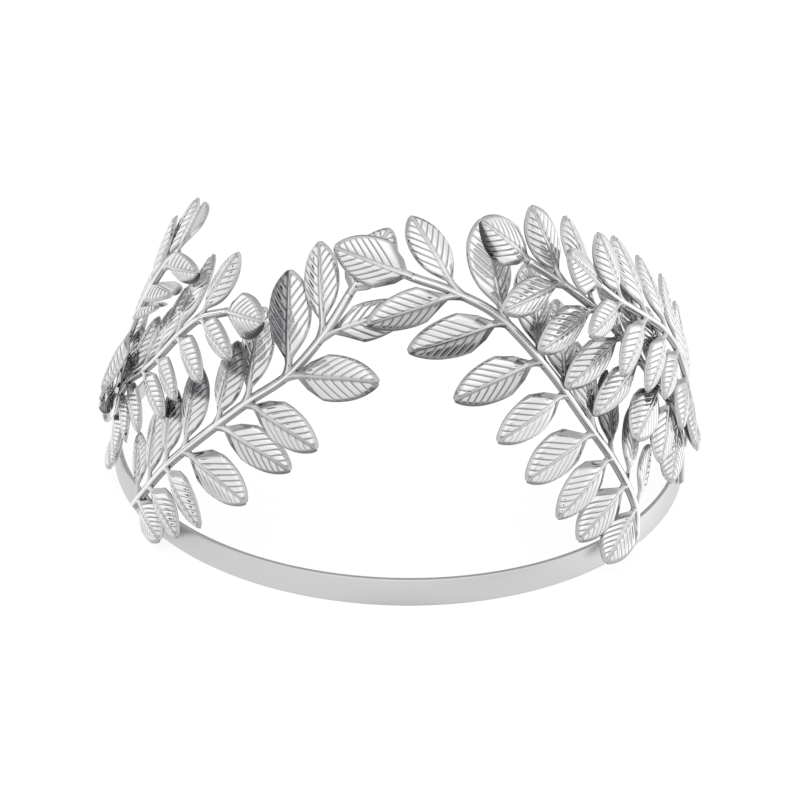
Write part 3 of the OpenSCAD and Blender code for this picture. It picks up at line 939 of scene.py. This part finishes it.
@dataclass(frozen=True)
class Silver:
    """A silver plate finish: colour with painted shade in it, gloss and the fine unevenness of its
    surface.
    """

    name: str
    colour: tuple
    # Colour painted into the stamping's low parts as painted shade.
    groove_shade_colour: tuple
    painted_shade_colour: tuple
    smooth: float
    rough: float
    grain: float
    grain_size: float
    recess_shade: float = 0.0
    recess_reach: float = 0.006
    recess_rays: int = 6
    open_sky: tuple = (0.15, 0.48)
    stretch: tuple = (1.0, 1.0, 1.0)
    grain_detail: float = 3.0
    grain_depth: float = 0.0001

    def make(self) -> bpy.types.Material:
        """The material, on Object coordinates and the piece's own attribute.

        Returns:
            A metal with painted shade in its colour: darker in the stamping's grooves, and darkest where
            a leaf carries its planned painted shade and deep between leaves that lie over each other.
        """
        material = bpy.data.materials.new(self.name)
        material.use_nodes = True
        nodes, links = material.node_tree.nodes, material.node_tree.links
        shader = nodes["Principled BSDF"]
        shader.inputs["Metallic"].default_value = 1.0
        place = nodes.new("ShaderNodeTexCoord")
        mapping = nodes.new("ShaderNodeMapping")
        mapping.inputs["Scale"].default_value = self.stretch
        links.new(place.outputs["Object"], mapping.inputs["Vector"])
        grain = nodes.new("ShaderNodeTexNoise")
        grain.inputs["Scale"].default_value = self.grain_size
        grain.inputs["Detail"].default_value = self.grain_detail
        links.new(mapping.outputs["Vector"], grain.inputs["Vector"])
        # The raised level paints shade into the colour: low parts get the darker groove colour.
        raised = nodes.new("ShaderNodeAttribute")
        raised.attribute_name = "raised"
        tint = nodes.new("ShaderNodeMix")
        tint.data_type = "RGBA"
        tint.inputs["A"].default_value = (*self.groove_shade_colour, 1.0)
        tint.inputs["B"].default_value = (*self.colour, 1.0)
        links.new(raised.outputs["Fac"], tint.inputs["Factor"])
        turned = nodes.new("ShaderNodeMath")
        turned.operation = "MULTIPLY"
        turned.inputs[1].default_value = -1.0
        turned.use_clamp = True
        links.new(raised.outputs["Fac"], turned.inputs[0])
        # Below a level of 0 the colour goes on to the darkest colour, as painted shade.
        painted_shade = nodes.new("ShaderNodeMix")
        painted_shade.data_type = "RGBA"
        painted_shade.inputs["B"].default_value = (*self.painted_shade_colour, 1.0)
        links.new(self.darkest(nodes, links, turned), painted_shade.inputs["Factor"])
        links.new(tint.outputs["Result"], painted_shade.inputs["A"])
        links.new(painted_shade.outputs["Result"], shader.inputs["Base Color"])
        gloss = nodes.new("ShaderNodeMapRange")
        gloss.inputs["To Min"].default_value = self.smooth
        gloss.inputs["To Max"].default_value = self.rough
        links.new(grain.outputs["Fac"], gloss.inputs["Value"])
        links.new(gloss.outputs["Result"], shader.inputs["Roughness"])
        bump = nodes.new("ShaderNodeBump")
        bump.inputs["Strength"].default_value = self.grain
        bump.inputs["Distance"].default_value = self.grain_depth
        links.new(grain.outputs["Fac"], bump.inputs["Height"])
        links.new(bump.outputs["Normal"], shader.inputs["Normal"])
        return material

    def darkest(self, nodes: bpy.types.Nodes, links: bpy.types.NodeLinks,
                turned: bpy.types.Node) -> bpy.types.NodeSocket:
        """The larger of the leaf's own painted shade and the painted shade deep between leaves that lie
        close.

        Args:
            nodes: The material's nodes.
            links: The material's links.
            turned: The node that gives the leaf's own painted shade.

        Returns:
            The socket that gives how far painted shade darkens the metal's colour.
        """
        if not self.recess_shade:
            return turned.outputs["Value"]
        # Ambient occlusion paints shade into the colour where leaves lie close over each other.
        around = nodes.new("ShaderNodeAmbientOcclusion")
        around.samples = self.recess_rays
        around.inputs["Distance"].default_value = self.recess_reach
        deep = nodes.new("ShaderNodeMapRange")
        deep.inputs["From Min"].default_value, deep.inputs["From Max"].default_value = self.open_sky
        deep.inputs["To Min"].default_value = self.recess_shade
        deep.inputs["To Max"].default_value = 0.0
        links.new(around.outputs["AO"], deep.inputs["Value"])
        larger = nodes.new("ShaderNodeMath")
        larger.operation = "MAXIMUM"
        links.new(deep.outputs["Result"], larger.inputs[0])
        links.new(turned.outputs["Value"], larger.inputs[1])
        return larger.outputs["Value"]


# The leaves' groove colour, darkest colour and shade between close leaves are painted shade; the hoop's
# colours are all one.
LEAF_SILVER = Silver(
    "polished silver plate", colour=(0.93, 0.93, 0.935), groove_shade_colour=(0.38, 0.38, 0.39),
    painted_shade_colour=(0.08, 0.08, 0.085), smooth=0.05, rough=0.12, grain=0.08, grain_size=700.0, recess_shade=0.6,
)
HOOP_SILVER = Silver(
    "satin silver plate", colour=(0.65, 0.65, 0.655), groove_shade_colour=(0.65, 0.65, 0.655),
    painted_shade_colour=(0.65, 0.65, 0.655), smooth=0.34, rough=0.44, grain=0.12, grain_size=900.0,
    stretch=(1.0, 1.0, 3.0),
)


@dataclass(frozen=True)
class Card:
    """A soft light or dark area of the studio: its middle, its brightness and how wide it is.

    It is full within the inner angle of its middle, and gone beyond the outer one, in degrees.
    """

    azimuth: float
    elevation: float
    inner: float
    outer: float
    brightness: float

    def direction(self) -> Vector:
        """Towards the card: azimuth 0 is the camera's side, and it turns towards the right."""
        return towards(math.radians(self.azimuth), math.radians(self.elevation))


# Wide areas first, then small dark ones for dark reflections. Each is mixed over those before it.
CARDS = (
    Card(0, -90, 25, 55, 0.50),
    Card(5, 58, 22, 44, 1.25),
    Card(100, 2, 16, 34, 1.40),
    Card(138, 0, 8, 16, 0.80),
    Card(-112, 12, 12, 26, 1.20),
    Card(-55, -10, 8, 22, 0.95),
    Card(-110, 40, 14, 26, 0.75),
    Card(180, 30, 16, 30, 0.35),
    Card(5, -34, 8, 14, 0.40),
    Card(25, -52, 9, 14, 0.12),
    Card(40, 8, 5, 9, 0.10),
    Card(89, 22, 4, 8, 0.15),
    Card(-88, -7, 6, 10, 0.10),
    Card(-72, 20, 5, 9, 0.08),
)


class Studio:
    """The pale floor, the soft studio light and the camera."""

    # Brightness where there is no card, the stage's sizes in metres, the dome's points, and in radians
    # where the dome starts below level and how far from its top it ends
    base: float = 0.98
    floor_side: float = 8.0
    dome_radius: float = 3.6
    dome_around: int = 48
    dome_rows: int = 16
    dome_low: float = -0.1
    dome_open: float = 0.02

    # Brightness and tone of the floor and of the dome
    floor_look: tuple = (0.90, 0.13)
    dome_look: tuple = (1.0, 0.0)

    # The camera's degrees, its distance and aim in millimetres, its focal length in pixels of the
    # photograph, and the nearest and farthest metres that it shows
    azimuth: float = 4.25
    elevation: float = 29.64
    roll: float = 1.43
    distance: float = 300.0
    aim_height: float = 9.29
    focal: float = 1139.8
    clip: tuple = (0.01, 20.0)

    def world(self) -> None:
        """The light all round: an even level, and over it each card, which fades between its angles."""
        world = bpy.data.worlds.new("studio")
        bpy.context.scene.world = world
        world.use_nodes = True
        nodes, links = world.node_tree.nodes, world.node_tree.links
        place = nodes.new("ShaderNodeTexCoord")
        level = None
        for card in CARDS:
            dot = nodes.new("ShaderNodeVectorMath")
            dot.operation = "DOT_PRODUCT"
            dot.inputs[1].default_value = card.direction()
            links.new(place.outputs["Generated"], dot.inputs[0])
            share = nodes.new("ShaderNodeMapRange")
            share.interpolation_type = "SMOOTHSTEP"
            share.inputs["From Min"].default_value = math.cos(math.radians(card.outer))
            share.inputs["From Max"].default_value = math.cos(math.radians(card.inner))
            links.new(dot.outputs["Value"], share.inputs["Value"])
            mix = nodes.new("ShaderNodeMix")
            mix.inputs["A"].default_value = self.base
            mix.inputs["B"].default_value = card.brightness
            links.new(share.outputs["Result"], mix.inputs["Factor"])
            if level is not None:
                links.new(level, mix.inputs["A"])
            level = mix.outputs["Result"]
        links.new(level, nodes["Background"].inputs["Strength"])
        nodes["Background"].inputs["Color"].default_value = WHITE

    def stage(self) -> None:
        """The floor, and a pale dome behind it that only the camera sees."""
        side = self.floor_side / 2
        floor = bpy.data.meshes.new("floor")
        floor.from_pydata([(-side, -side, 0), (side, -side, 0), (side, side, 0), (-side, side, 0)],
                          [], [(0, 1, 2, 3)])
        turn = np.linspace(0, 2 * math.pi, self.dome_around, endpoint=False)[None, :]
        rise = np.linspace(self.dome_low, math.pi / 2 - self.dome_open, self.dome_rows)[:, None]
        r = self.dome_radius
        ring = np.stack([r * np.cos(rise) * np.cos(turn), r * np.cos(rise) * np.sin(turn),
                         r * np.sin(rise) + 0 * turn], axis=-1)
        shell = wrap_rings(ring, np.ones(ring.shape[:2]))
        dome = bpy.data.meshes.new("backdrop")
        faces = [tuple(dict.fromkeys(face)) for face in shell.faces.tolist()]
        dome.from_pydata(shell.points.tolist(), [], faces)
        for mesh, (glow, tone) in ((floor, self.floor_look), (dome, self.dome_look)):
            material = bpy.data.materials.new(mesh.name + " white")
            material.use_nodes = True
            shader = material.node_tree.nodes["Principled BSDF"]
            shader.inputs["Base Color"].default_value = (tone, tone, tone, 1.0)
            shader.inputs["Roughness"].default_value = 1.0
            shader.inputs["Specular IOR Level"].default_value = 0.0
            shader.inputs["Emission Color"].default_value = WHITE
            shader.inputs["Emission Strength"].default_value = glow
            mesh.materials.append(material)
            thing = bpy.data.objects.new(mesh.name, mesh)
            bpy.context.scene.collection.objects.link(thing)
            thing.visible_glossy = False
            thing.visible_diffuse = False
            thing.visible_shadow = False

    def camera(self) -> None:
        """The camera at the photograph's angle, aimed a little above the hoop's centre."""
        azimuth, elevation, roll = map(math.radians, (self.azimuth, self.elevation, self.roll))
        place = self.distance * towards(azimuth, elevation)
        aim = Vector((0.0, 0.0, self.aim_height))
        away = (place - aim).normalized()
        right = Vector((0, 0, 1)).cross(away).normalized()
        up = away.cross(right)
        turned_right = math.cos(roll) * right + math.sin(roll) * up
        turned_up = math.cos(roll) * up - math.sin(roll) * right
        data = bpy.data.cameras.new("camera")
        data.sensor_width = SENSOR
        data.lens = self.focal / IMAGE_SIDE * SENSOR
        data.clip_start, data.clip_end = self.clip
        camera = bpy.data.objects.new("camera", data)
        bpy.context.scene.collection.objects.link(camera)
        turn = Matrix((turned_right, turned_up, away)).transposed().to_4x4()
        camera.matrix_world = Matrix.Translation(place * MM + Vector(HOOP_CENTRE)) @ turn
        bpy.context.scene.camera = camera

    def build(self) -> None:
        """Sets up camera, light and stage, with plain colours kept as they are."""
        self.camera()
        self.world()
        self.stage()
        bpy.context.scene.view_settings.view_transform = "Standard"


band_low, band_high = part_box("band")
WALL = Wall()
HOOP_CENTRE = np.array([(band_low.x + band_high.x) / 2, band_low.y + WALL.radius * MM, 0.0])


def main() -> None:
    """Builds the studio and each piece in order."""
    logging.basicConfig(level=logging.INFO, format="%(message)s")
    Studio().build()
    finishes = {Finish.LEAF: LEAF_SILVER.make(), Finish.HOOP: HOOP_SILVER.make()}
    strip = Band(WALL).build()
    strip.data.materials.append(finishes[Finish.HOOP])
    log.info("%s: %d faces", strip.name, len(strip.data.polygons))
    for plan in PLANS:
        piece = Branch(plan, Stamping(), WALL).build()
        piece.data.materials.append(finishes[Finish.LEAF])
        log.info("%s: %d faces", piece.name, len(piece.data.polygons))


if __name__ == "__main__":
    main()
